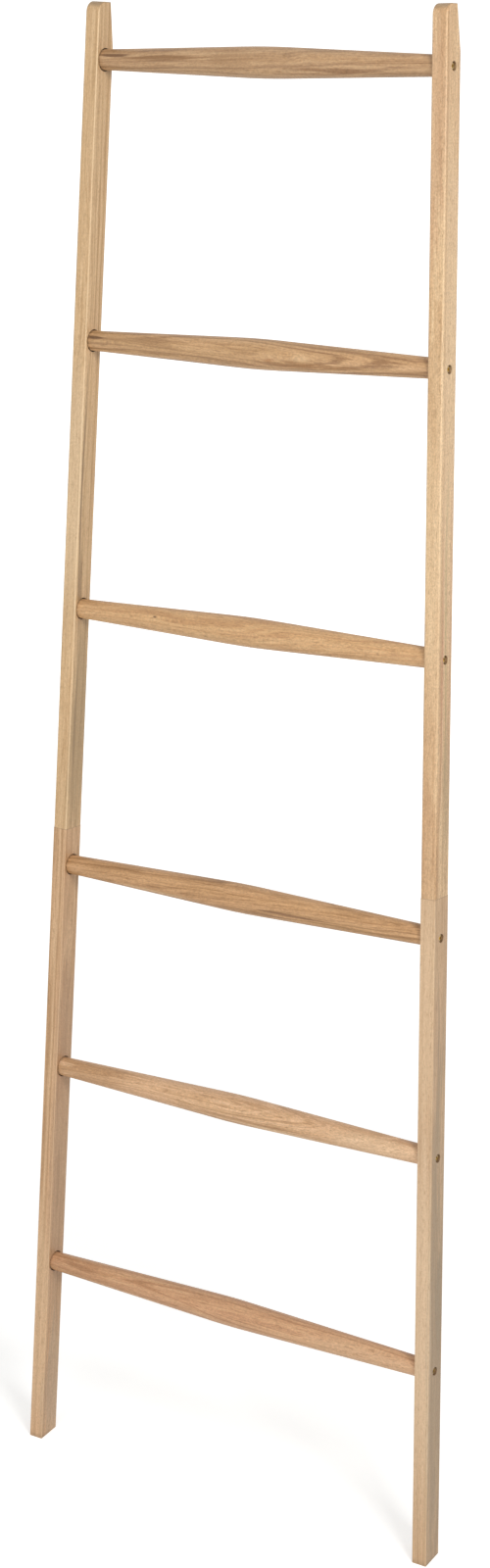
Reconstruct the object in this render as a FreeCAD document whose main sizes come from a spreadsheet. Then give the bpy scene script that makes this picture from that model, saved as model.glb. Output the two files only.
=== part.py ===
import FreeCAD, Part
import math
import os
import Sketcher

# Blanket ladder that leans on a wall.
# Ladder frame used while drawing: X along the rungs, Y from the front face to the
# back, Z up the stiles.  The lean then turns every piece about X, so that the feet
# lie flat on the floor (Z = 0) and the cuts at the top lie flat on the wall.

SIZES = {
    # stiles
    "stile_length": 1800,
    "stile_width": 19,
    "stile_depth": 31,
    "foot_span": 590,
    "top_span": 472,
    "lean_angle": 9,
    "splice_above_rung": 48,
    "nose_radius": 12,
    "wall_cut_length": 50,
    "upper_edge_round": 2,
    "lower_edge_round": 1,
    # rungs
    "bottom_rung_height": 244,
    "top_rung_drop": 65,
    "spacing_ratio": 0.8224,
    "rung_end_diameter": 23.5,
    "rung_belly_diameter": 35,
    "belly_curve_radius": 1100,
    "rung_end_chamfer": 1,
    # seats of the rungs in the stiles
    "seat_depth": 8,
    "seat_clearance": 1.25,
    # screws, one into each rung end
    "counterbore_clearance": 0.5,
    "counterbore_depth": 4.8,
    "screw_diameter": 5,
    "screw_length": 45,
    "screw_point": 6,
    "screw_hole_clearance": 0.25,
    "head_diameter": 9,
    "head_height": 3,
    "head_dome": 0.8,
    "head_crown": 6.4,
    "hex_size": 4,
    "hex_depth": 2,
    "pilot_spare": 3,
    # dowels across the splices
    "dowel_diameter": 8,
    "dowel_length": 50,
    "dowel_spacing": 13,
    "dowel_chamfer": 0.8,
    "dowel_spare": 1,
}

DERIVED = {
    # heights of the rungs: two closer spaces at the bottom, three wider ones above
    "top_rung_height": "=stile_length - top_rung_drop",
    "rung_span": "=top_rung_height - bottom_rung_height",
    "upper_spacing": "=rung_span / (3 + 2 * spacing_ratio)",
    "lower_spacing": "=upper_spacing * spacing_ratio",
    "splice_height": "=bottom_rung_height + 2 * lower_spacing + splice_above_rung",
    # splay and lean of the stiles
    "foot_half": "=foot_span / 2",
    "top_half": "=top_span / 2",
    "splay_slope": "=(foot_half - top_half) / stile_length",
    "splay_angle": "=atan(splay_slope) / 1deg",
    "splice_half": "=foot_half - splay_slope * splice_height",
    "stile_breadth": "=stile_width / cos(splay_angle * 1deg)",
    "foot_rise": "=stile_depth * tan(lean_angle * 1deg)",
    # the cut at the wall is drawn to twice its length, so that it clears the top
    "wall_cut_start": "=stile_length - wall_cut_length",
    "wall_cut_run": "=2 * wall_cut_length",
    "wall_cut_fall": "=wall_cut_run * tan(lean_angle * 1deg)",
    "wall_plane": "=wall_cut_start * sin(lean_angle * 1deg) + stile_depth * cos(lean_angle * 1deg)",
    # rungs and their seats
    "rung_setback": "=stile_depth / 2",
    "rung_end_radius": "=rung_end_diameter / 2",
    "belly_curve_drop": "=belly_curve_radius - rung_belly_diameter / 2",
    "seat_diameter": "=rung_end_diameter + 2 * seat_clearance",
    # screws
    "counterbore_diameter": "=head_diameter + 2 * counterbore_clearance",
    "screw_hole_diameter": "=screw_diameter + 2 * screw_hole_clearance",
    "pilot_depth": "=screw_length + pilot_spare - stile_breadth + counterbore_depth + seat_depth",
    "shank_radius": "=screw_diameter / 2",
    "head_radius": "=head_diameter / 2",
    "crown_radius": "=head_crown / 2",
    "hex_corner_circle": "=hex_size / cos(30deg)",
    # dowels
    "dowel_front": "=rung_setback - dowel_spacing / 2",
    "dowel_back": "=rung_setback + dowel_spacing / 2",
    "dowel_hole_depth": "=dowel_length / 2 + dowel_spare",
    "splice_centre": "=splice_half - stile_breadth / 2",
}

RUNGS = range(1, 7)                  # numbered from the top
UPPER_RUNGS = RUNGS[:3]
LOWER_RUNGS = RUNGS[3:]

# each level is measured from the one below it
LEVELS = {
    6: "=bottom_rung_height",
    5: "=level_6 + lower_spacing",
    4: "=level_5 + lower_spacing",
    3: "=level_4 + upper_spacing",
    2: "=level_3 + upper_spacing",
    1: "=level_2 + upper_spacing",
}

# height and half span of the stations that a stile runs between
FOOT = (None, "foot_half")
SPLICE = ("splice_height", "splice_half")
TOP = ("stile_length", "top_half")

H_AXIS = -1
V_AXIS = -2
START = 1
END = 2
CENTRE = 3

doc = FreeCAD.newDocument("BlanketLadder")
sheet = doc.addObject("Spreadsheet::Sheet", "Sizes")


def fill_sheet():
    """Write the driving sizes, the sizes worked out from them and the rung levels."""
    rows = dict(SIZES)
    rows.update(DERIVED)
    for number, formula in LEVELS.items():
        rows[f"level_{number}"] = formula
        rows[f"outer_half_{number}"] = f"=foot_half - splay_slope * level_{number}"
        rows[f"inner_half_{number}"] = f"=outer_half_{number} - stile_breadth"
        rows[f"seat_floor_{number}"] = f"=inner_half_{number} + seat_depth"
        rows[f"screw_seat_{number}"] = f"=outer_half_{number} - counterbore_depth"
        rows[f"rung_back_{number}"] = (
            f"=level_{number} * sin(lean_angle * 1deg)"
            " + rung_setback * cos(lean_angle * 1deg) - wall_plane / 2"
        )
        rows[f"rung_rise_{number}"] = (
            f"=level_{number} * cos(lean_angle * 1deg) - rung_setback * sin(lean_angle * 1deg)"
        )
    for row, (name, value) in enumerate(rows.items(), start=1):
        sheet.set(f"A{row}", name)
        sheet.set(f"B{row}", str(value))
        sheet.setAlias(f"B{row}", name)
    doc.recompute()


def cell(name):
    return f"Sizes.{name}"


def size(name):
    return float(sheet.get(name))


def new_body(label):
    """A body leaned back with the ladder, its feet on the floor midway in depth."""
    body = doc.addObject("PartDesign::Body", label)
    body.Label = label
    lean(body, "0", "-Sizes.wall_plane / 2", "0")
    return body


def lean(piece, x, y, z):
    turned_back = FreeCAD.Rotation(FreeCAD.Vector(1, 0, 0), -1)
    piece.Placement = FreeCAD.Placement(FreeCAD.Vector(), turned_back)
    piece.setExpression("Placement.Base.x", x)
    piece.setExpression("Placement.Base.y", y)
    piece.setExpression("Placement.Base.z", z)
    piece.setExpression("Placement.Rotation.Angle", "-Sizes.lean_angle")


def origin_plane(body, role):
    return next(item for item in body.Origin.OriginFeatures if item.Role == role)


def new_sketch(body, name, role, offset=None):
    """A sketch on one of the body's own planes, offset along its normal by a formula."""
    sketch = body.newObject("Sketcher::SketchObject", f"{body.Name}_{name}")
    sketch.AttachmentSupport = [(origin_plane(body, role), "")]
    sketch.MapMode = "FlatFace"
    if offset:
        sketch.setExpression("AttachmentOffset.Base.z", offset)
    return sketch


def relate(sketch, kind, *reference):
    sketch.addConstraint(Sketcher.Constraint(kind, *reference))


def add_line(sketch, start, end):
    return sketch.addGeometry(Part.LineSegment(FreeCAD.Vector(*start, 0), FreeCAD.Vector(*end, 0)))


def add_chain(sketch, points):
    """Straight lines joined end to end; returns the lines' numbers."""
    lines = [add_line(sketch, start, end) for start, end in zip(points, points[1:])]
    for line, following in zip(lines, lines[1:]):
        relate(sketch, "Coincident", line, END, following, START)
    return lines


def add_outline(sketch, points):
    """A closed outline of straight lines; returns the lines' numbers."""
    lines = add_chain(sketch, points + points[:1])
    relate(sketch, "Coincident", lines[-1], END, lines[0], START)
    return lines


def add_size(sketch, kind, reference, name):
    """A dimension in the sketch that follows a cell of the sheet."""
    index = sketch.addConstraint(Sketcher.Constraint(kind, *reference, size(name)))
    sketch.setExpression(f"Constraints[{index}]", cell(name))


def add_circle(sketch, across, up, diameter):
    """A circle placed by two cells, or on the upright axis where none is given for across."""
    centre = FreeCAD.Vector(size(across) if across else 0, size(up), 0)
    circle = Part.Circle(centre, FreeCAD.Vector(0, 0, 1), size(diameter) / 2)
    index = sketch.addGeometry(circle)
    if across:
        add_size(sketch, "DistanceX", (H_AXIS, START, index, CENTRE), across)
    else:
        relate(sketch, "PointOnObject", index, CENTRE, V_AXIS)
    add_size(sketch, "DistanceY", (H_AXIS, START, index, CENTRE), up)
    add_size(sketch, "Diameter", (index,), diameter)


def add_pad(body, sketch, name, length, reverse=False, both_ways=False):
    pad = body.newObject("PartDesign::Pad", f"{body.Name}_{name}")
    pad.Profile = sketch
    pad.Reversed = reverse
    if both_ways:
        pad.SideType = "Symmetric"
    pad.setExpression("Length", cell(length))
    sketch.Visibility = False
    return pad


def add_pocket(body, sketch, name, length=None, reverse=False, both_ways=False):
    """Cut by a length, or right through where no length is given."""
    pocket = body.newObject("PartDesign::Pocket", f"{body.Name}_{name}")
    pocket.Profile = sketch
    pocket.Reversed = reverse
    if both_ways:
        pocket.SideType = "Symmetric"
    if length:
        pocket.setExpression("Length", cell(length))
    else:
        pocket.Type = "ThroughAll"
    sketch.Visibility = False
    return pocket


def turn(body, sketch):
    """Revolve a profile about the sketch's own level axis."""
    turned = body.newObject("PartDesign::Revolution", f"{body.Name}_turned")
    turned.Profile = sketch
    turned.ReferenceAxis = (sketch, ["H_Axis"])
    turned.Angle = 360
    sketch.Visibility = False
    return turned


def dress_edges(body, kind, property_name, name, is_wanted):
    """Round or bevel the edges of the body so far that the test picks."""
    doc.recompute()
    tip = body.Tip
    edges = enumerate(tip.Shape.Edges, start=1)
    picked = [f"Edge{number}" for number, edge in edges if is_wanted(edge)]
    dressed = body.newObject(f"PartDesign::{kind}", f"{body.Name}_{name}")
    dressed.Base = (tip, picked)
    dressed.setExpression(property_name, cell(name))
    return dressed


# --- stiles ---------------------------------------------------------------------

def draw_stile_outline(body, low, high):
    """Front view of a left stile piece between two stations."""
    low_height, low_half = low
    high_height, high_half = high
    bottom = size(low_height) if low_height else 0
    top = size(high_height)
    outer_low = -size(low_half)
    outer_high = -size(high_half)
    width = size("stile_width")
    sketch = new_sketch(body, "outline", "XZ_Plane")
    foot, inner, head, outer = add_outline(sketch, [
        (outer_low, bottom),
        (outer_low + width, bottom),
        (outer_high + width, top),
        (outer_high, top),
    ])
    relate(sketch, "Parallel", inner, outer)
    relate(sketch, "Perpendicular", head, outer)
    if low_height:
        relate(sketch, "Perpendicular", foot, outer)
        add_size(sketch, "DistanceY", (H_AXIS, START, foot, START), low_height)
    else:
        relate(sketch, "Horizontal", foot)
        relate(sketch, "PointOnObject", foot, START, H_AXIS)
    add_size(sketch, "DistanceX", (foot, START, H_AXIS, START), low_half)
    add_size(sketch, "DistanceY", (H_AXIS, START, head, END), high_height)
    add_size(sketch, "DistanceX", (head, END, H_AXIS, START), high_half)
    add_size(sketch, "Distance", (foot, START, inner), "stile_width")
    return sketch


def cut_foot(body):
    """Saw the sole, so that it lies on the floor when the ladder leans."""
    depth = size("stile_depth")
    rise = size("foot_rise")
    sketch = new_sketch(body, "sole", "YZ_Plane")
    sole, back, base = add_outline(sketch, [(0, 0), (depth, rise), (depth, 0)])
    relate(sketch, "Coincident", sole, START, H_AXIS, START)
    relate(sketch, "Vertical", back)
    relate(sketch, "Horizontal", base)
    add_size(sketch, "DistanceX", (sole, START, sole, END), "stile_depth")
    add_size(sketch, "DistanceY", (sole, START, sole, END), "foot_rise")
    add_pocket(body, sketch, "sole_cut", both_ways=True)


def cut_wall_face(body):
    """Plane the back of the top end, so that it lies on the wall."""
    depth = size("stile_depth")
    start = size("wall_cut_start")
    above = start + size("wall_cut_run")
    fall = size("wall_cut_fall")
    sketch = new_sketch(body, "wall_face", "YZ_Plane")
    face, over, back = add_outline(sketch, [(depth, start), (depth - fall, above), (depth, above)])
    relate(sketch, "Horizontal", over)
    relate(sketch, "Vertical", back)
    add_size(sketch, "DistanceX", (H_AXIS, START, face, START), "stile_depth")
    add_size(sketch, "DistanceY", (H_AXIS, START, face, START), "wall_cut_start")
    add_size(sketch, "DistanceX", (face, END, face, START), "wall_cut_fall")
    add_size(sketch, "DistanceY", (face, START, face, END), "wall_cut_run")
    add_pocket(body, sketch, "wall_cut", both_ways=True)


def round_nose(body):
    """Round the front of the top end in side view."""
    half_width = size("stile_width") / 2
    front = size("nose_radius") / 10
    below_top = size("stile_length") - size("wall_cut_length") / 2

    def is_front_top(edge):
        box = edge.BoundBox
        return box.ZMin > below_top and box.YMax < front and box.XLength > half_width

    dress_edges(body, "Fillet", "Radius", "nose_radius", is_front_top)


def ease_long_edges(body, radius):
    """Soften the edges that run up the stile, over the nose and down the wall face."""
    margin = size("stile_width") / 4

    def runs_up(edge):
        box = edge.BoundBox
        return box.ZLength > margin and box.ZLength > box.XLength

    dress_edges(body, "Fillet", "Radius", radius, runs_up)


def bore_rung_seats(body, rungs):
    """Blind seat, screw hole and counterbore for each rung, all along the rung."""
    for number in rungs:
        level = f"level_{number}"
        seat = new_sketch(body, f"seat_{number}", "YZ_Plane", f"-Sizes.seat_floor_{number}")
        add_circle(seat, "rung_setback", level, "seat_diameter")
        add_pocket(body, seat, f"seat_cut_{number}", reverse=True)
        bore = new_sketch(body, f"counterbore_{number}", "YZ_Plane", f"-Sizes.screw_seat_{number}")
        add_circle(bore, "rung_setback", level, "counterbore_diameter")
        add_pocket(body, bore, f"counterbore_cut_{number}")
    holes = new_sketch(body, "screw_holes", "YZ_Plane")
    for number in rungs:
        add_circle(holes, "rung_setback", f"level_{number}", "screw_hole_diameter")
    add_pocket(body, holes, "screw_hole_cut")


def splice_sketch(body, name):
    """Two dowel circles square to the left stile at its splice, centred on its width."""
    sketch = new_sketch(body, name, "XY_Plane", cell("splice_height"))
    splayed = FreeCAD.Rotation(FreeCAD.Vector(0, 1, 0), 1)
    sketch.AttachmentOffset = FreeCAD.Placement(FreeCAD.Vector(), splayed)
    sketch.setExpression("AttachmentOffset.Base.x", "-Sizes.splice_centre")
    sketch.setExpression("AttachmentOffset.Rotation.Angle", cell("splay_angle"))
    for centre in ("dowel_front", "dowel_back"):
        add_circle(sketch, None, centre, "dowel_diameter")
    return sketch


def make_left_stile_lower():
    body = new_body("left_stile_lower")
    outline = draw_stile_outline(body, FOOT, SPLICE)
    add_pad(body, outline, "bar", "stile_depth", reverse=True)
    ease_long_edges(body, "lower_edge_round")
    cut_foot(body)
    holes = splice_sketch(body, "dowel_holes")
    add_pocket(body, holes, "dowel_hole_cut", "dowel_hole_depth")
    bore_rung_seats(body, LOWER_RUNGS)
    return body


def make_left_stile_upper():
    body = new_body("left_stile_upper")
    outline = draw_stile_outline(body, SPLICE, TOP)
    add_pad(body, outline, "bar", "stile_depth", reverse=True)
    cut_wall_face(body)
    round_nose(body)
    ease_long_edges(body, "upper_edge_round")
    holes = splice_sketch(body, "dowel_holes")
    add_pocket(body, holes, "dowel_hole_cut", "dowel_hole_depth", reverse=True)
    bore_rung_seats(body, UPPER_RUNGS)
    return body


def make_left_splice_dowels():
    body = new_body("left_splice_dowels")
    add_pad(body, splice_sketch(body, "ends"), "pins", "dowel_length", both_ways=True)
    dress_edges(body, "Chamfer", "Size", "dowel_chamfer", lambda edge: edge.isClosed())
    return body


# --- rungs ----------------------------------------------------------------------

def rung_end_points(number):
    """Left end of a rung's profile, from the floor of the screw's hole to the stile's face."""
    face = size(f"seat_floor_{number}")
    bottom = face - size("pilot_depth")
    hole = size("shank_radius")
    thin = size("rung_end_radius")
    chamfer = size("rung_end_chamfer")
    return [
        (-bottom, 0),
        (-bottom, hole),
        (-face, hole),
        (-face, thin - chamfer),
        (chamfer - face, thin),
        (-size(f"inner_half_{number}"), thin),
    ]


def draw_rung_profile(sketch, number):
    """Straight tapers from both ends run into a softly rounded belly."""
    radius = size("belly_curve_radius")
    belly_height = radius - size("belly_curve_drop")
    blend = size(f"inner_half_{number}") / 8
    left_points = rung_end_points(number) + [(-blend, belly_height)]
    right_points = [(-across, up) for across, up in reversed(left_points)]
    left = add_chain(sketch, left_points)
    right = add_chain(sketch, right_points)
    axis = add_line(sketch, right_points[-1], left_points[0])
    circle = Part.Circle(FreeCAD.Vector(0, belly_height - radius, 0), FreeCAD.Vector(0, 0, 1), radius)
    crown = circle.parameter(FreeCAD.Vector(blend, belly_height, 0))
    belly = sketch.addGeometry(Part.ArcOfCircle(circle, crown, math.pi - crown))

    relate(sketch, "Coincident", right[-1], END, axis, START)
    relate(sketch, "Coincident", axis, END, left[0], START)
    relate(sketch, "Tangent", left[-1], END, belly, END)
    relate(sketch, "Tangent", belly, START, right[0], START)
    for near, far in zip(left, reversed(right)):
        relate(sketch, "Symmetric", near, START, far, END, V_AXIS)
    floor, wall, face, bevel, tenon = left[:5]
    relate(sketch, "PointOnObject", floor, START, H_AXIS)
    relate(sketch, "PointOnObject", belly, CENTRE, V_AXIS)
    relate(sketch, "Vertical", floor)
    relate(sketch, "Vertical", face)
    relate(sketch, "Horizontal", wall)
    relate(sketch, "Horizontal", tenon)

    add_size(sketch, "DistanceX", (face, START, H_AXIS, START), f"seat_floor_{number}")
    add_size(sketch, "DistanceX", (face, START, floor, START), "pilot_depth")
    add_size(sketch, "DistanceY", (floor, START, floor, END), "shank_radius")
    add_size(sketch, "DistanceX", (bevel, START, bevel, END), "rung_end_chamfer")
    add_size(sketch, "DistanceY", (bevel, START, bevel, END), "rung_end_chamfer")
    add_size(sketch, "DistanceX", (tenon, END, H_AXIS, START), f"inner_half_{number}")
    add_size(sketch, "DistanceY", (H_AXIS, START, tenon, END), "rung_end_radius")
    add_size(sketch, "Radius", (belly,), "belly_curve_radius")
    add_size(sketch, "DistanceY", (belly, CENTRE, H_AXIS, START), "belly_curve_drop")


def make_rung(number):
    """A turned spindle, thin where it enters the stiles and thickest in the middle."""
    body = new_body(f"rung_{number}")
    lean(body, "0", cell(f"rung_back_{number}"), cell(f"rung_rise_{number}"))
    sketch = new_sketch(body, "profile", "XZ_Plane")
    draw_rung_profile(sketch, number)
    turn(body, sketch)
    return body


# --- screws ---------------------------------------------------------------------

def draw_screw_profile(sketch):
    """Upper half of a pan-head screw; the underside of the head is on the upright axis."""
    shank = size("shank_radius")
    head = size("head_radius")
    height = size("head_height")
    length = size("screw_length")
    crown, dome, side, seat, stem, tip, core = add_outline(sketch, [
        (-height, 0),
        (-height, size("crown_radius")),
        (size("head_dome") - height, head),
        (0, head),
        (0, shank),
        (length - size("screw_point"), shank),
        (length, 0),
    ])
    relate(sketch, "Vertical", crown)
    relate(sketch, "Vertical", seat)
    relate(sketch, "Horizontal", side)
    relate(sketch, "Horizontal", stem)
    relate(sketch, "Horizontal", core)
    relate(sketch, "PointOnObject", crown, START, H_AXIS)
    relate(sketch, "PointOnObject", seat, START, V_AXIS)
    add_size(sketch, "DistanceX", (crown, START, H_AXIS, START), "head_height")
    add_size(sketch, "DistanceX", (dome, START, dome, END), "head_dome")
    add_size(sketch, "DistanceY", (crown, START, crown, END), "crown_radius")
    add_size(sketch, "DistanceY", (H_AXIS, START, side, START), "head_radius")
    add_size(sketch, "DistanceY", (H_AXIS, START, stem, START), "shank_radius")
    add_size(sketch, "DistanceX", (H_AXIS, START, tip, END), "screw_length")
    add_size(sketch, "DistanceX", (tip, START, tip, END), "screw_point")


def draw_hexagon(sketch):
    """A regular hexagon with one corner on the level axis."""
    radius = size("hex_corner_circle") / 2
    arm = FreeCAD.Vector(radius, 0, 0)
    turns = [FreeCAD.Rotation(FreeCAD.Vector(0, 0, 1), 60 * corner) for corner in range(6)]
    corners = [step.multVec(arm) for step in turns]
    sides = add_outline(sketch, [(corner.x, corner.y) for corner in corners])
    circle = Part.Circle(FreeCAD.Vector(), FreeCAD.Vector(0, 0, 1), radius)
    ring = sketch.addGeometry(circle, True)
    relate(sketch, "Coincident", ring, CENTRE, H_AXIS, START)
    for side in sides:
        relate(sketch, "PointOnObject", side, START, ring)
    for side in sides[1:]:
        relate(sketch, "Equal", sides[0], side)
    relate(sketch, "PointOnObject", sides[0], START, H_AXIS)
    add_size(sketch, "Diameter", (ring,), "hex_corner_circle")


def make_screw(number):
    """A pan-head screw with a hex socket, lying along X with its head to the left."""
    body = new_body(f"left_screw_{number}")
    back = cell(f"rung_back_{number}")
    rise = cell(f"rung_rise_{number}")
    lean(body, f"-Sizes.screw_seat_{number}", back, rise)
    profile = new_sketch(body, "profile", "XZ_Plane")
    draw_screw_profile(profile)
    turn(body, profile)
    socket = new_sketch(body, "socket", "YZ_Plane", "Sizes.hex_depth - Sizes.head_height")
    draw_hexagon(socket)
    add_pocket(body, socket, "socket_cut")
    return body


def make_screw_group(label, screws):
    """Six separate screws kept together under one name."""
    group = doc.addObject("Part::Compound", label)
    group.Label = label
    group.Links = screws
    return group


# --- right-hand side --------------------------------------------------------------

def mirror(piece, label):
    """The right-hand piece is the left-hand one seen in a mirror across the ladder."""
    twin = doc.addObject("Part::Mirroring", label)
    twin.Label = label
    twin.Source = piece
    twin.Base = FreeCAD.Vector()
    twin.Normal = FreeCAD.Vector(1, 0, 0)
    return twin


# --- build and export -------------------------------------------------------------

def check_document():
    for item in doc.Objects:
        if {"Invalid", "Error"} & set(item.State):
            raise RuntimeError(f"{item.Name} did not recompute: {item.State}")


def export(pieces):
    os.makedirs("parts", exist_ok=True)
    for piece in pieces:
        shape = piece.Shape
        if shape.isNull() or not shape.isValid():
            raise RuntimeError(f"{piece.Label} has no valid shape")
        shape.exportStep(f"parts/{piece.Label}.step")
        print(f"{piece.Label}: {len(shape.Solids)} solid(s), {shape.Volume / 1000:.1f} cm3")


fill_sheet()
rungs = [make_rung(number) for number in RUNGS]
left_pieces = [
    make_left_stile_lower(),
    make_left_stile_upper(),
    make_left_splice_dowels(),
    make_screw_group("left_rung_screws", [make_screw(number) for number in RUNGS]),
]
right_pieces = [mirror(piece, piece.Label.replace("left", "right")) for piece in left_pieces]
doc.recompute()
check_document()
export(left_pieces + right_pieces + rungs)
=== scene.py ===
import bpy
import math
from mathutils import Matrix, Vector

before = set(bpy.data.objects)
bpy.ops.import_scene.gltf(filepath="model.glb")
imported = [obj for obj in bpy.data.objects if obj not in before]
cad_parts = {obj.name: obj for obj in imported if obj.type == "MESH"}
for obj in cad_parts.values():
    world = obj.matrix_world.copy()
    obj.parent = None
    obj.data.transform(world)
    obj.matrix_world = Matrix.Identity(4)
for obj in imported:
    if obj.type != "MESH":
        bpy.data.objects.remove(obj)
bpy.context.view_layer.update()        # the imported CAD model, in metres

mm = 0.001
print("frame loaded:", len(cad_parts), "nodes")

# the ladder's own sizes, repeated from the CAD sheet in millimetres
ladder = {
    "lean": math.radians(9.0),
    "wallPlane": 304.379,
    "stileLength": 1800.0,
    "stileWidth": 19.0,
    "stileDepth": 31.0,
    "footHalf": 295.0,
    "topHalf": 236.0,
    "spliceHeight": 820.0,
    "counterbore": 10.0,
    "seat": 26.0,
    "seatDepth": 8.0,
    "rungLevels": [1735.0, 1414.0, 1093.0, 772.0, 508.0, 244.0],   # from the top rung down
}
ladder["splay"] = math.atan((ladder["footHalf"] - ladder["topHalf"]) / ladder["stileLength"])


def hexToLinear(code):
    channels = [int(code[i:i + 2], 16) / 255 for i in (1, 3, 5)]
    linear = [c / 12.92 if c <= 0.04045 else ((c + 0.055) / 1.055) ** 2.4 for c in channels]
    return (*linear, 1.0)


# inputs go by name or number, and each is a plain value or the socket to link
def addNode(tree, kind, inputs=None, **settings):
    node = tree.nodes.new(kind)
    for name, value in settings.items():
        setattr(node, name, value)
    for name, value in (inputs or {}).items():
        if isinstance(value, bpy.types.NodeSocket):
            tree.links.new(value, node.inputs[name])
        else:
            node.inputs[name].default_value = value
    return node


def newMaterial(name):
    material = bpy.data.materials.new(name)
    material.use_nodes = True
    material.node_tree.nodes.clear()
    return material, material.node_tree


def dress(name, material):
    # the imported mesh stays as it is, and only what fills its slots changes
    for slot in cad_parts[name].material_slots:
        slot.material = material


def ladderToWorld(across, depth, up):
    # a point of the upright ladder, leaned back onto the wall, in metres
    leaned = Matrix.Rotation(-ladder["lean"], 3, "X") @ Vector((across, depth, up))
    return (leaned - Vector((0, ladder["wallPlane"] / 2, 0))) * mm


def stileTurn(side):
    # the grain of a stile leans back with the ladder and splays out towards the foot
    return Matrix.Rotation(-ladder["lean"], 3, "X") @ Matrix.Rotation(-side * ladder["splay"], 3, "Y")


# layers of the figure: width across the fibres, length along them (mm) and fractal detail.
# Real pores are 0.2 mm wide; here they are drawn about 0.8 mm wide so that they show.
grainLayers = {
    "streak": (2.4, 120.0, 4.0),
    "pore": (0.8, 9.0, 2.0),
    "fleck": (1.9, 2.4, 2.0),
    "heart": (8.0, 260.0, 2.0),
}

# sanded and oiled acacia: warm and even, with soft bands, short dark pores and a silky sheen
acacia = {
    "cutFrom": (0.0, 0.0, 0.0),                   # where in the log the piece was cut, mm
    "slope": (0.0, 0.0, 0.0),                     # mm sideways for each mm along
    "eyes": (),                                   # bowed grain: centre, half size and push, mm
    "pith": (70.0, 95.0, 0.0),
    "ringWidth": 4.5,                             # mm, since acacia grows fast
    "ringRoughness": 0.62,
    "wander": 22.0,                               # mm that the figure strays
    "driftWide": 26.0, "waveLength": 330.0,       # mm across and along for one stray
    "detail": 2.0,                                # of the rings and of their stray
    "layers": grainLayers,
    "layerRoughness": 0.6,
    "streakShare": 0.5,
    "spread": 0.11,                               # a smaller spread gives more contrast
    "light": "#E2C196", "mid": "#D3AE81", "dark": "#B68F66",
    "drift": "#C9A27A", "driftShare": 0.35, "driftRange": (0.40, 0.60),
    "late": "#996B3E", "lateShare": 0.25, "lateRange": (0.60, 0.68),
    "heart": "#996B3E", "heartShare": 0.35, "heartRange": (0.58, 0.72),
    "marks": (),                                  # centre and half size in mm, colour, strength
    "markRagged": (14.0, 14.0, 60.0), "markSplit": 1.4, "markRange": (1.9, 1.2),
    "pore": "#8A6238", "poreShare": 0.4, "poreRange": (0.54, 0.68),
    "fleckShare": 0.10, "fleckRange": (0.3, 0.7),
    "endGrain": "#8F7658", "endShare": 0.7, "endRange": (0.3, 0.85),
    # arris tint: partly rubbed wear, partly a painted highlight along the edges
    "arris": "#E9D0A9", "arrisShare": 0.45,
    "arrisWide": 1.0, "arrisFade": (0.8, -0.2), "arrisRagged": 1.6,      # mm
    "bores": (),                                  # heights of the rungs that the piece carries, mm
    # painted shade in the bores and round their rims
    "boreShadeTone": "#5A4029", "boreShadeShare": 0.55, "boreShadeRange": (0.7, 0.05), "boreStep": 0.2,
    "seamAndFootTone": "#7E6750",
    "seamShare": 0.55, "seamRange": (0.5, 0.15),  # mm from the glue line
    "footShare": 0.35, "footRange": (9.0, 0.0),   # mm above the floor
    "ior": 1.48,                                  # a film of dried oil
    "roughness": 0.47, "roughSpread": 0.06, "roughRange": (0.3, 0.7),
    "relief": 0.12, "reliefStrength": 0.35, "poreRelief": 0.55,      # depth in mm
}


def distanceFrom(tree, point, centre, half):
    # counted in half sizes, so 1 is the skin of a stretched ball
    away = addNode(tree, "ShaderNodeVectorMath", {0: point, 1: centre}, operation="SUBTRACT").outputs[0]
    away = addNode(tree, "ShaderNodeVectorMath", {0: away, 1: half}, operation="DIVIDE").outputs[0]
    return addNode(tree, "ShaderNodeVectorMath", {0: away}, operation="LENGTH").outputs["Value"]


def bentGrain(tree, grain, wood):
    # the board was not quite straight grained: the pattern slides sideways along the piece
    up = addNode(tree, "ShaderNodeVectorMath", {0: grain, 1: (0.0, 0.0, 1.0)},
                 operation="DOT_PRODUCT").outputs["Value"]
    slide = addNode(tree, "ShaderNodeVectorMath", {0: wood["slope"], 3: up}, operation="SCALE").outputs[0]
    bent = addNode(tree, "ShaderNodeVectorMath", {0: grain, 1: slide}, operation="ADD").outputs[0]
    # round a bud that never became a knot the fibres bow out
    for centre, half, push in wood["eyes"]:
        away = distanceFrom(tree, grain, centre, half)
        near = addNode(tree, "ShaderNodeMapRange", {"Value": away, "From Min": 1.0, "From Max": 0.0},
                       interpolation_type="SMOOTHERSTEP").outputs["Result"]
        bowed = addNode(tree, "ShaderNodeVectorMath", {0: push, 3: near}, operation="SCALE").outputs[0]
        bent = addNode(tree, "ShaderNodeVectorMath", {0: bent, 1: bowed}, operation="ADD").outputs[0]
    return addNode(tree, "ShaderNodeVectorMath", {0: bent, 1: wood["cutFrom"]}, operation="ADD").outputs[0]


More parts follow.
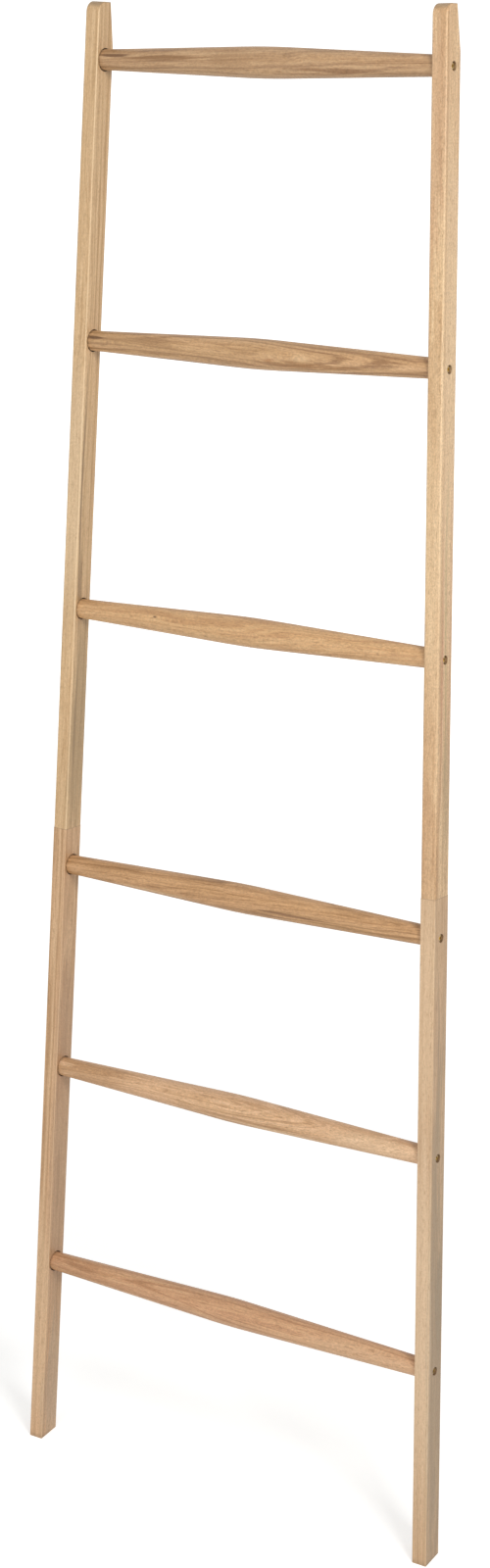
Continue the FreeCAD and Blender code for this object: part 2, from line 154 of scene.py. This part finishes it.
# one solid pattern in millimetres, z along the grain, so that faces, arrises and bores agree
def woodColour(tree, grain, wood):
    board = bentGrain(tree, grain, wood)
    slowing = (1 / wood["driftWide"], 1 / wood["driftWide"], 1 / wood["waveLength"])
    slow = addNode(tree, "ShaderNodeVectorMath", {0: board, 1: slowing}, operation="MULTIPLY").outputs[0]
    drift = addNode(tree, "ShaderNodeTexNoise", {"Vector": slow, "Scale": 1.0, "Detail": wood["detail"]})
    centred = addNode(tree, "ShaderNodeVectorMath", {0: drift.outputs["Color"], 1: (0.5, 0.5, 0.5)},
                      operation="SUBTRACT").outputs[0]
    stray = (wood["wander"], wood["wander"], 0.0)
    wander = addNode(tree, "ShaderNodeVectorMath", {0: centred, 1: stray, 2: board},
                     operation="MULTIPLY_ADD").outputs[0]

    # growth rings round a pith that lies outside the piece
    fromPith = addNode(tree, "ShaderNodeVectorMath", {0: wander, 1: wood["pith"]},
                       operation="SUBTRACT").outputs[0]
    flat = addNode(tree, "ShaderNodeVectorMath", {0: fromPith, 1: (1.0, 1.0, 0.0)},
                   operation="MULTIPLY").outputs[0]
    radius = addNode(tree, "ShaderNodeVectorMath", {0: flat}, operation="LENGTH").outputs["Value"]
    ringCount = addNode(tree, "ShaderNodeMath", {0: radius, 1: wood["ringWidth"]},
                        operation="DIVIDE").outputs[0]
    rings = addNode(tree, "ShaderNodeTexNoise", {"W": ringCount, "Scale": 1.0, "Detail": wood["detail"],
                                                 "Roughness": wood["ringRoughness"]},
                    noise_dimensions="1D").outputs["Fac"]

    # fibre streaks, finer pores, the cross fleck of the rays and heartwood
    layers = {}
    for layer, (wide, long, detail) in wood["layers"].items():
        stretched = addNode(tree, "ShaderNodeVectorMath", {0: wander, 1: (1 / wide, 1 / wide, 1 / long)},
                            operation="MULTIPLY").outputs[0]
        layers[layer] = addNode(tree, "ShaderNodeTexNoise", {
            "Vector": stretched, "Scale": 1.0, "Detail": detail,
            "Roughness": wood["layerRoughness"]}).outputs["Fac"]
    # a Mix node takes numbers in sockets 2 and 3, and colours in 6 and 7
    mixed = addNode(tree, "ShaderNodeMix", {"Factor": wood["streakShare"], 2: rings,
                                            3: layers["streak"]}).outputs[0]
    tone = addNode(tree, "ShaderNodeMapRange", {"Value": mixed, "From Min": 0.5 - wood["spread"],
                                                "From Max": 0.5 + wood["spread"]}).outputs["Result"]
    ramp = addNode(tree, "ShaderNodeValToRGB", {"Fac": tone})
    ramp.color_ramp.elements[0].color = hexToLinear(wood["dark"])
    ramp.color_ramp.elements[1].color = hexToLinear(wood["light"])
    ramp.color_ramp.elements.new(0.5).color = hexToLinear(wood["mid"])
    colour = ramp.outputs["Color"]

    # the hue changes slowly along the board, late wood closes each ring with a thin dark line,
    # and streaks of heartwood run through it
    for value, blend, tint in ((drift.outputs["Fac"], "LINEAR", "drift"), (rings, "SMOOTHSTEP", "late"),
                               (layers["heart"], "SMOOTHSTEP", "heart")):
        low, high = wood[tint + "Range"]
        share = addNode(tree, "ShaderNodeMapRange", {"Value": value, "From Min": low, "From Max": high,
                                                     "To Max": wood[tint + "Share"]},
                        interpolation_type=blend).outputs["Result"]
        colour = addNode(tree, "ShaderNodeMix", {"Factor": share, 6: colour, 7: hexToLinear(wood[tint])},
                         data_type="RGBA").outputs[2]

    # single mineral streaks and pale patches with ragged edges; some marks are painted shade or painted light
    # on one end or face of a piece
    ragged = addNode(tree, "ShaderNodeVectorMath", {0: centred, 1: wood["markRagged"], 2: grain},
                     operation="MULTIPLY_ADD").outputs[0]
    low, high = wood["markRange"]
    for centre, half, tint, share in wood["marks"]:
        away = distanceFrom(tree, ragged, centre, half)
        split = addNode(tree, "ShaderNodeMath", {0: layers["streak"], 1: wood["markSplit"], 2: away},
                        operation="MULTIPLY_ADD").outputs[0]
        inside = addNode(tree, "ShaderNodeMapRange", {"Value": split, "From Min": low, "From Max": high,
                                                      "To Max": share},
                         interpolation_type="SMOOTHSTEP").outputs["Result"]
        colour = addNode(tree, "ShaderNodeMix", {"Factor": inside, 6: colour, 7: hexToLinear(tint)},
                         data_type="RGBA").outputs[2]

    # pores: short dark dashes along the grain
    low, high = wood["poreRange"]
    pores = addNode(tree, "ShaderNodeMapRange", {"Value": layers["pore"], "From Min": low, "From Max": high,
                                                 "To Max": wood["poreShare"]}).outputs["Result"]
    colour = addNode(tree, "ShaderNodeMix", {"Factor": pores, 6: colour, 7: hexToLinear(wood["pore"])},
                     data_type="RGBA").outputs[2]
    # ray fleck: small patches a little lighter or darker
    low, high = wood["fleckRange"]
    fleck = addNode(tree, "ShaderNodeMapRange", {"Value": layers["fleck"], "From Min": low, "From Max": high,
                                                 "To Min": 1 - wood["fleckShare"],
                                                 "To Max": 1 + wood["fleckShare"]}).outputs["Result"]
    colour = addNode(tree, "ShaderNodeVectorMath", {0: colour, 3: fleck}, operation="SCALE").outputs[0]
    return colour, layers


# what use and making leave on a stile, with painted light and shade: arrises lighter partly from rubbing and
# partly as a painted highlight, painted shade in the bores, a glue line and the stile darker just above the
# floor
def stileWearAndShade(tree, grain, colour, layers, wood):
    parts = addNode(tree, "ShaderNodeSeparateXYZ", {0: grain}).outputs

    # long arrises are a little lighter, partly rubbed by use and partly a painted highlight of the edge
    # catching the light: distance to the nearest corner of the section
    nearest = []
    for axis, wide in (("X", ladder["stileWidth"]), ("Y", ladder["stileDepth"])):
        inward = addNode(tree, "ShaderNodeMath", {0: parts[axis]}, operation="ABSOLUTE").outputs[0]
        other = addNode(tree, "ShaderNodeMath", {0: wide, 1: inward}, operation="SUBTRACT").outputs[0]
        nearest.append(addNode(tree, "ShaderNodeMath", {0: inward, 1: other}, operation="MINIMUM").outputs[0])
    corner = addNode(tree, "ShaderNodeMath", {0: nearest[0], 1: nearest[1]}, operation="MAXIMUM").outputs[0]
    ragged = addNode(tree, "ShaderNodeMath", {0: layers["streak"], 1: wood["arrisRagged"], 2: corner},
                     operation="MULTIPLY_ADD").outputs[0]
    low, high = wood["arrisFade"]
    rubAndHighlight = addNode(tree, "ShaderNodeMapRange", {"Value": ragged, "From Min": wood["arrisWide"] + low,
                                               "From Max": wood["arrisWide"] + high,
                                               "To Max": wood["arrisShare"]}).outputs["Result"]
    colour = addNode(tree, "ShaderNodeMix", {"Factor": rubAndHighlight, 6: colour, 7: hexToLinear(wood["arris"])},
                     data_type="RGBA").outputs[2]

    # painted shade: the walls of the bores are darkened where shade falls inside them, and a dark ring is
    # painted round their rims
    across = addNode(tree, "ShaderNodeMath", {0: parts["X"]}, operation="ABSOLUTE").outputs[0]
    climb = addNode(tree, "ShaderNodeMath", {0: across, 1: -math.tan(ladder["splay"]), 2: parts["Z"]},
                    operation="MULTIPLY_ADD").outputs[0]
    upBore = None
    for level in wood["bores"]:
        miss = addNode(tree, "ShaderNodeMath", {0: climb, 1: level / math.cos(ladder["splay"])},
                       operation="SUBTRACT").outputs[0]
        miss = addNode(tree, "ShaderNodeMath", {0: miss}, operation="ABSOLUTE").outputs[0]
        if upBore is not None:
            miss = addNode(tree, "ShaderNodeMath", {0: upBore, 1: miss}, operation="MINIMUM").outputs[0]
        upBore = miss
    backBore = addNode(tree, "ShaderNodeMath", {0: parts["Y"], 1: ladder["stileDepth"] / 2},
                       operation="SUBTRACT").outputs[0]
    flatBore = addNode(tree, "ShaderNodeCombineXYZ", {"X": upBore, "Y": backBore}).outputs[0]
    fromBore = addNode(tree, "ShaderNodeVectorMath", {0: flatBore}, operation="LENGTH").outputs["Value"]
    # the narrow counterbore starts at the outer face, the wide seat ends at the inner one
    seatFloor = ladder["stileWidth"] - ladder["seatDepth"]
    bore = addNode(tree, "ShaderNodeMapRange", {"Value": across, "From Min": seatFloor - wood["boreStep"],
                                                "From Max": seatFloor, "To Min": ladder["counterbore"] / 2,
                                                "To Max": ladder["seat"] / 2}).outputs["Result"]
    beyond = addNode(tree, "ShaderNodeMath", {0: fromBore, 1: bore}, operation="SUBTRACT").outputs[0]
    low, high = wood["boreShadeRange"]
    boreShadeMask = addNode(tree, "ShaderNodeMapRange", {"Value": beyond, "From Min": low, "From Max": high,
                                                   "To Max": wood["boreShadeShare"]},
                      interpolation_type="SMOOTHSTEP").outputs["Result"]
    colour = addNode(tree, "ShaderNodeMix", {"Factor": boreShadeMask, 6: colour, 7: hexToLinear(wood["boreShadeTone"])},
                     data_type="RGBA").outputs[2]

    # the glue line of the splice, and the stile darker in its last few millimetres above the floor
    off = addNode(tree, "ShaderNodeMath", {0: parts["Z"], 1: ladder["spliceHeight"]},
                  operation="SUBTRACT").outputs[0]
    off = addNode(tree, "ShaderNodeMath", {0: off}, operation="ABSOLUTE").outputs[0]
    low, high = wood["seamRange"]
    seam = addNode(tree, "ShaderNodeMapRange", {"Value": off, "From Min": low, "From Max": high,
                                                "To Max": wood["seamShare"]}).outputs["Result"]
    low, high = wood["footRange"]
    foot = addNode(tree, "ShaderNodeMapRange", {"Value": parts["Z"], "From Min": low, "From Max": high,
                                                "To Max": wood["footShare"]},
                   interpolation_type="SMOOTHSTEP").outputs["Result"]
    seamAndFootMask = addNode(tree, "ShaderNodeMath", {0: seam, 1: foot}, operation="MAXIMUM").outputs[0]
    return addNode(tree, "ShaderNodeMix", {"Factor": seamAndFootMask, 6: colour, 7: hexToLinear(wood["seamAndFootTone"])},
                   data_type="RGBA").outputs[2]


def woodMaterial(name, wood, origin, turned):
    material, tree = newMaterial(name)
    coords = addNode(tree, "ShaderNodeTexCoord").outputs
    grain = addNode(tree, "ShaderNodeMapping", {"Vector": coords["Object"], "Location": origin,
                                                "Rotation": turned.to_euler("XYZ"), "Scale": (mm, mm, mm)},
                    vector_type="TEXTURE").outputs[0]
    colour, layers = woodColour(tree, grain, wood)

    # end grain is darker where a face is cut across the fibres
    along = addNode(tree, "ShaderNodeVectorMath", {0: coords["Normal"], 1: turned @ Vector((0, 0, 1))},
                    operation="DOT_PRODUCT").outputs["Value"]
    along = addNode(tree, "ShaderNodeMath", {0: along}, operation="ABSOLUTE").outputs[0]
    low, high = wood["endRange"]
    cut = addNode(tree, "ShaderNodeMapRange", {"Value": along, "From Min": low, "From Max": high,
                                               "To Max": wood["endShare"]},
                  interpolation_type="SMOOTHSTEP").outputs["Result"]
    colour = addNode(tree, "ShaderNodeMix", {"Factor": cut, 6: colour, 7: hexToLinear(wood["endGrain"])},
                     data_type="RGBA").outputs[2]
    if wood["bores"]:
        colour = stileWearAndShade(tree, grain, colour, layers, wood)

    low, high = wood["roughRange"]
    rough = addNode(tree, "ShaderNodeMapRange", {
        "Value": layers["streak"], "From Min": low, "From Max": high,
        "To Min": wood["roughness"] - wood["roughSpread"],
        "To Max": wood["roughness"] + wood["roughSpread"]}).outputs["Result"]
    height = addNode(tree, "ShaderNodeMix", {"Factor": wood["poreRelief"], 2: layers["streak"],
                                             3: layers["pore"]}).outputs[0]
    relief = addNode(tree, "ShaderNodeBump", {"Height": height, "Strength": wood["reliefStrength"],
                                              "Distance": wood["relief"] * mm}, invert=True).outputs[0]
    shader = addNode(tree, "ShaderNodeBsdfPrincipled", {"Base Color": colour, "Roughness": rough,
                                                        "IOR": wood["ior"], "Normal": relief})
    addNode(tree, "ShaderNodeOutputMaterial", {"Surface": shader.outputs[0]})
    return material


# stiles: planed and sanded acacia, oiled, which leaves the long grain silky and the ends dull.
# A mark is placed by distance in from the outer face, back from the front and up from the floor.
stiles = {
    "left_stile_upper": dict(acacia, side=-1, cutFrom=(30.0, 12.0, 0.0),
                             light="#DDBC92", mid="#CDAA7F", dark="#B28D62", drift="#C7A880",
                             arrisWide=1.5, arrisShare=0.6,
                             marks=(((19.0, 5.0, 1240.0), (2.6, 2.3, 160.0), "#866A4C", 0.9),
                                    ((19.0, 9.0, 1115.0), (3.0, 3.0, 60.0), "#8E7250", 0.7),
                                    ((19.0, 15.0, 950.0), (4.0, 24.0, 160.0), "#98805E", 0.6),
                                    ((19.0, 8.0, 930.0), (3.0, 3.5, 110.0), "#7F6749", 0.5),
                                    ((9.5, 0.0, 1240.0), (16.0, 4.0, 170.0), "#E0C6A2", 0.45))),
    "left_stile_lower": dict(acacia, side=-1, cutFrom=(-80.0, 40.0, 900.0),
                             light="#D7B48D", mid="#C8A27B", dark="#AD8760", drift="#CA9D77",
                             marks=(((19.0, 15.5, 400.0), (5.0, 26.0, 300.0), "#A6866A", 0.5),
                                    ((19.0, 17.0, 60.0), (4.0, 22.0, 110.0), "#B39F88", 0.45),
                                    ((9.5, 0.0, 160.0), (16.0, 4.5, 170.0), "#DBBB95", 0.45))),
    "right_stile_upper": dict(acacia, side=1, cutFrom=(55.0, -60.0, 400.0),
                              light="#E1C298", mid="#D2AF85", dark="#B89267", drift="#CFA77F",
                              fleckShare=0.17, poreShare=0.5, arrisWide=1.3, arrisShare=0.4,
                              marks=(((0.0, 8.0, 1130.0), (2.5, 2.2, 180.0), "#BC8868", 0.75),
                                     ((0.0, 16.0, 1150.0), (2.5, 2.0, 210.0), "#9C8C5E", 0.75),
                                     ((0.0, 25.0, 1130.0), (2.5, 2.5, 240.0), "#B58768", 0.6),
                                     ((0.0, 20.0, 930.0), (2.5, 8.0, 110.0), "#A08A68", 0.5),
                                     ((6.0, 2.0, 1560.0), (2.5, 1.5, 120.0), "#B88C68", 0.5),
                                     ((9.5, 0.0, 1230.0), (16.0, 5.0, 190.0), "#E9CDA4", 0.45),
                                     # painted light: a lighter band over the upper part of the outer face
                                     ((0.0, 18.0, 1400.0), (3.5, 24.0, 340.0), "#EACCA5", 0.45),
                                     ((9.5, 0.0, 1680.0), (16.0, 8.0, 150.0), "#BE9775", 0.5),
                                     ((9.5, 0.0, 885.0), (16.0, 12.0, 75.0), "#B98F67", 0.5))),
    "right_stile_lower": dict(acacia, side=1, cutFrom=(-20.0, 90.0, 2100.0),
                              light="#D2B08B", mid="#C4A27C", dark="#AC8963", drift="#C09D7D",
                              heartShare=0.2, fleckShare=0.07,
                              # painted shade: the outer face darker and greyer towards the foot
                              marks=(((0.0, 18.0, 300.0), (3.5, 24.0, 420.0), "#96836B", 0.65),
                                     ((0.0, 20.0, 330.0), (3.0, 8.0, 90.0), "#8F8069", 0.4),
                                     ((9.5, 0.0, 700.0), (16.0, 5.0, 170.0), "#E4C7A2", 0.35),
                                     ((9.5, 0.0, 300.0), (16.0, 4.5, 260.0), "#E2C6A4", 0.5))),
}
for name, wood in stiles.items():
    side = wood["side"]
    origin = ladderToWorld(side * ladder["footHalf"], 0.0, 0.0)
    placed = [((-side * centre[0], centre[1], centre[2]), half, tint, share)
              for centre, half, tint, share in wood["marks"]]
    bores = [level for level in ladder["rungLevels"]
             if (level > ladder["spliceHeight"]) == ("upper" in name)]
    dress(name, woodMaterial(name.replace("_", " ") + ", planed and oiled acacia",
                             dict(wood, marks=placed, bores=bores), origin, stileTurn(side)))
print("stiles dressed")

# rungs: turned and sanded acacia, oiled, with more figure because the lathe cuts across the rings.
# A mark or an eye is placed by distance down from the axis, back from it and along to the right.
turnedAcacia = dict(acacia, layers=dict(grainLayers, streak=(2.2, 70.0, 5.0), fleck=(1.5, 3.2, 3.0)),
                    ringWidth=3.6, spread=0.10, poreShare=0.5, fleckShare=0.16)
rungs = {
    "rung_1": dict(turnedAcacia, cutFrom=(5.0, 33.0, 150.0), slope=(0.02, 0.01, 0.0),
                   light="#C8A47C", mid="#B58F68", dark="#916D4B", drift="#B89773",
                   marks=(((-6.0, -9.0, -205.0), (3.0, 6.0, 26.0), "#66452A", 0.9),
                          ((-3.0, -14.0, -140.0), (3.5, 6.0, 60.0), "#7F5A36", 0.7),
                          ((8.0, -14.0, 110.0), (2.0, 6.0, 60.0), "#805A38", 0.7),
                          ((0.0, -15.0, -38.0), (16.0, 14.0, 34.0), "#97734F", 0.35)),
                   eyes=(((-6.0, -15.0, 62.0), (9.0, 14.0, 30.0), (3.0, 0.0, 0.0)),)),
    "rung_2": dict(turnedAcacia, cutFrom=(44.0, -21.0, 700.0), slope=(-0.03, 0.02, 0.0),
                   light="#D2AA80", mid="#C0986D", dark="#98724E", drift="#BB976C",
                   marks=(((-2.0, -10.0, -222.0), (2.0, 6.0, 14.0), "#5F4128", 0.9),
                          ((0.0, -16.0, 62.0), (5.0, 8.0, 12.0), "#D8B58B", 0.5),
                          ((5.0, -14.0, 25.0), (2.0, 6.0, 9.0), "#8F5A2C", 0.6),
                          ((6.0, -12.0, 78.0), (2.5, 7.0, 60.0), "#9A6F44", 0.7)),
                   eyes=(((2.0, -15.0, 45.0), (13.0, 16.0, 42.0), (-5.5, 1.0, 0.0)),)),
    "rung_3": dict(turnedAcacia, cutFrom=(-31.0, 8.0, 1300.0), slope=(0.015, 0.02, 0.0),
                   light="#D9B283", mid="#CBA172", dark="#B5895E", drift="#CFA578",
                   heartShare=0.15,
                   marks=(((-3.0, -13.0, -120.0), (1.2, 4.0, 3.0), "#6E5238", 0.9),)),
    "rung_4": dict(turnedAcacia, cutFrom=(12.0, 71.0, 1900.0), slope=(0.045, -0.03, 0.0),
                   light="#D2A579", mid="#BF9367", dark="#966D44", drift="#BB9466",
                   lateShare=0.5, heartShare=0.5,
                   marks=(((7.0, -12.0, -120.0), (1.6, 6.0, 60.0), "#DDBB90", 0.7),
                          ((5.0, -14.0, 70.0), (1.6, 6.0, 70.0), "#7C5839", 0.8),
                          ((9.0, -11.0, 20.0), (1.5, 6.0, 60.0), "#8A6342", 0.7))),
    "rung_5": dict(turnedAcacia, cutFrom=(-66.0, 25.0, 2500.0), slope=(0.035, 0.02, 0.0),
                   light="#E3BC96", mid="#D2A980", dark="#B68E66", drift="#D4A984",
                   lateShare=0.4,
                   marks=(((4.0, -14.0, 30.0), (1.5, 6.0, 90.0), "#A87F58", 0.6),
                          ((8.0, -12.0, 60.0), (1.5, 6.0, 80.0), "#E3C29A", 0.6),
                          # painted shade darkens the left end and a painted highlight lightens the right end,
                          # as light from the right would
                          ((0.0, -12.0, -205.0), (16.0, 14.0, 70.0), "#AC825A", 0.55),
                          ((0.0, -12.0, 205.0), (12.0, 14.0, 75.0), "#EACBA6", 0.4))),
    "rung_6": dict(turnedAcacia, cutFrom=(27.0, -48.0, 3100.0), slope=(0.02, -0.02, 0.0),
                   light="#D5AC83", mid="#C69872", dark="#A97C56", drift="#C7956F",
                   heartShare=0.2,
                   marks=(((-6.0, -10.0, -225.0), (3.0, 6.0, 30.0), "#8F6444", 0.6),
                          # painted shade darkens the left end and a painted highlight lightens the right end,
                          # as light from the right would
                          ((0.0, -12.0, -215.0), (16.0, 14.0, 55.0), "#AA7A50", 0.3),
                          ((0.0, -12.0, 190.0), (14.0, 14.0, 90.0), "#DDBA94", 0.35))),
}
for (name, wood), level in zip(rungs.items(), ladder["rungLevels"]):
    turned = Matrix.Rotation(-ladder["lean"], 3, "X") @ Matrix.Rotation(math.radians(90), 3, "Y")
    origin = ladderToWorld(0.0, ladder["stileDepth"] / 2, level)
    dress(name, woodMaterial(name.replace("_", " ") + ", turned and oiled acacia", wood, origin, turned))
print("rungs dressed")

# screws: zinc plated steel, passivated yellow, which shines brass-like out of the shadow of its hole
zinc = {
    "plate": "#CDB682", "warm": "#B99763", "cool": "#CFC9A0",
    "filmStops": (0.35, 0.5, 0.66),
    "bloomWide": 2.5,         # mm between the warmer and the greener clouds of the yellow film
    "turnedLine": 0.28,       # mm between the rings of the heading tool, drawn about three times too wide
    "roughness": 0.32, "roughSpread": 0.07, "roughRange": (0.3, 0.7),
    "relief": 0.03, "reliefStrength": 0.4,
}


def zincMaterial():
    material, tree = newMaterial("yellow zinc plated steel, cold headed and passivated")
    coords = addNode(tree, "ShaderNodeTexCoord").outputs
    grid = addNode(tree, "ShaderNodeMapping", {"Vector": coords["Object"], "Scale": (mm, mm, mm)},
                   vector_type="TEXTURE").outputs[0]
    bloom = addNode(tree, "ShaderNodeTexNoise", {"Vector": grid, "Scale": 1 / zinc["bloomWide"],
                                                 "Detail": 3.0}).outputs["Fac"]
    film = addNode(tree, "ShaderNodeValToRGB", {"Fac": bloom})
    low, middle, high = zinc["filmStops"]
    first, last = film.color_ramp.elements
    first.color, first.position = hexToLinear(zinc["warm"]), low
    last.color, last.position = hexToLinear(zinc["cool"]), high
    film.color_ramp.elements.new(middle).color = hexToLinear(zinc["plate"])
    marks = addNode(tree, "ShaderNodeTexNoise", {"Vector": grid, "Scale": 1 / zinc["turnedLine"],
                                                 "Detail": 2.0}).outputs["Fac"]
    low, high = zinc["roughRange"]
    rough = addNode(tree, "ShaderNodeMapRange", {
        "Value": marks, "From Min": low, "From Max": high,
        "To Min": zinc["roughness"] - zinc["roughSpread"],
        "To Max": zinc["roughness"] + zinc["roughSpread"]}).outputs["Result"]
    relief = addNode(tree, "ShaderNodeBump", {"Height": marks, "Strength": zinc["reliefStrength"],
                                              "Distance": zinc["relief"] * mm}).outputs[0]
    shader = addNode(tree, "ShaderNodeBsdfPrincipled", {"Base Color": film.outputs["Color"],
                                                        "Metallic": 1.0, "Roughness": rough,
                                                        "Normal": relief})
    addNode(tree, "ShaderNodeOutputMaterial", {"Surface": shader.outputs[0]})
    return material


plated = zincMaterial()
for name in ("left_rung_screws", "right_rung_screws"):
    dress(name, plated)
print("screws dressed")

# dowels: turned beech, paler and more even than the acacia, hidden inside the splices
beech = dict(acacia, light="#DDC09A", mid="#CFAC83", dark="#BE976C", drift="#CBA67C",
             heartShare=0.0, lateShare=0.1, fleckShare=0.15, endGrain="#B08D68", endShare=0.4)
for name, side in (("left_splice_dowels", -1), ("right_splice_dowels", 1)):
    origin = ladderToWorld(side * ladder["footHalf"], 0.0, 0.0)
    dress(name, woodMaterial(name.replace("_", " ") + ", turned beech", beech, origin, stileTurn(side)))
print("dowels dressed")

# studio: matt white paper, which gives an even ground without sheen, under three soft lamps
studio = {
    "worldStrength": 0.42,
    "floorTone": "#F4F4F2",
    "floorHalf": 40.0,                        # metres from the middle to each edge
    "liftFrom": 0.7, "liftTo": 3.2,           # metres from the ladder
    "floorLift": 0.44, "farLift": 0.85,       # glow of the floor at those distances
    "lamps": {
        "frontSoftbox": {"place": (0.0, -4.4, 1.0), "aim": (0.0, 0.0, 0.7), "size": 2.2, "power": 54.0},
        "keySoftbox": {"place": (2.4, -1.3, 2.8), "aim": (0.0, 0.0, 1.4), "size": 1.0, "power": 55.0},
        "overheadSoftbox": {"place": (0.2, -0.6, 5.0), "aim": (0.0, 0.0, 1.0), "size": 3.0, "power": 16.0},
    },
}


def seenRay(tree):
    # 1 for rays that see the backdrop, also in metal or through glass, and 0 for its light
    ray = addNode(tree, "ShaderNodeLightPath").outputs
    seen = addNode(tree, "ShaderNodeMath", {0: ray["Is Camera Ray"], 1: ray["Is Glossy Ray"]},
                   operation="MAXIMUM").outputs[0]
    return addNode(tree, "ShaderNodeMath", {0: seen, 1: ray["Is Transmission Ray"]},
                   operation="MAXIMUM").outputs[0]


def buildWorld():
    world = bpy.data.worlds.new("studio")
    bpy.context.scene.world = world
    world.use_nodes = True
    tree = world.node_tree
    tree.nodes.clear()
    strength = addNode(tree, "ShaderNodeMapRange", {"Value": seenRay(tree), "To Max": 1.0,
                                                    "To Min": studio["worldStrength"]}).outputs["Result"]
    sky = addNode(tree, "ShaderNodeBackground", {"Color": (1, 1, 1, 1), "Strength": strength})
    addNode(tree, "ShaderNodeOutputWorld", {"Surface": sky.outputs[0]})


def buildFloor():
    half = studio["floorHalf"]
    mesh = bpy.data.meshes.new("floor")
    mesh.from_pydata([(-half, -half, 0), (half, -half, 0), (half, half, 0), (-half, half, 0)], [],
                     [(0, 1, 2, 3)])
    floor = bpy.data.objects.new("floor", mesh)
    bpy.context.scene.collection.objects.link(floor)
    material, tree = newMaterial("floor, matt white studio paper")
    # far off the lamps reach the paper less, so it glows a little more and stays white
    place = addNode(tree, "ShaderNodeTexCoord").outputs["Object"]
    distance = addNode(tree, "ShaderNodeVectorMath", {0: place}, operation="LENGTH").outputs["Value"]
    wanted = addNode(tree, "ShaderNodeMapRange", {
        "Value": distance, "From Min": studio["liftFrom"], "From Max": studio["liftTo"],
        "To Min": studio["floorLift"], "To Max": studio["farLift"]}).outputs["Result"]
    lift = addNode(tree, "ShaderNodeMath", {0: seenRay(tree), 1: wanted}, operation="MULTIPLY").outputs[0]
    paper = addNode(tree, "ShaderNodeBsdfDiffuse", {"Color": hexToLinear(studio["floorTone"])})
    glow = addNode(tree, "ShaderNodeEmission", {"Color": (1, 1, 1, 1), "Strength": lift})
    both = addNode(tree, "ShaderNodeAddShader", {0: paper.outputs[0], 1: glow.outputs[0]})
    addNode(tree, "ShaderNodeOutputMaterial", {"Surface": both.outputs[0]})
    mesh.materials.append(material)


def buildLamps():
    for name, lamp in studio["lamps"].items():
        light = bpy.data.lights.new(name, "AREA")
        light.shape = "SQUARE"
        light.size = lamp["size"]
        light.energy = lamp["power"]
        holder = bpy.data.objects.new(name, light)
        bpy.context.scene.collection.objects.link(holder)
        holder.location = lamp["place"]
        aim = Vector(lamp["aim"]) - Vector(lamp["place"])
        holder.rotation_euler = aim.to_track_quat("-Z", "Y").to_euler()


view = {
    "place": (1.7548, -2.5899, 2.0926),                  # metres
    "yaw": 34.075, "pitch": 20.868, "roll": 3.578,       # degrees
    "focalPixels": 2907.9, "imageHeight": 1600,
    "sensorHeight": 24.0,                                # mm
    "clipEnd": 200.0,                                    # metres
}


def buildCamera():
    lens = bpy.data.cameras.new("camera")
    lens.sensor_fit = "VERTICAL"
    lens.sensor_height = view["sensorHeight"]
    lens.lens = lens.sensor_height * view["focalPixels"] / view["imageHeight"]
    lens.clip_end = view["clipEnd"]
    camera = bpy.data.objects.new("camera", lens)
    bpy.context.scene.collection.objects.link(camera)
    aim = (Matrix.Rotation(math.radians(view["yaw"]), 4, "Z")
           @ Matrix.Rotation(math.radians(90 - view["pitch"]), 4, "X")
           @ Matrix.Rotation(-math.radians(view["roll"]), 4, "Z"))
    camera.matrix_world = Matrix.Translation(view["place"]) @ aim
    bpy.context.scene.camera = camera


buildWorld()
buildFloor()
buildLamps()
buildCamera()
bpy.context.scene.view_settings.view_transform = "Standard"
print("studio ready")
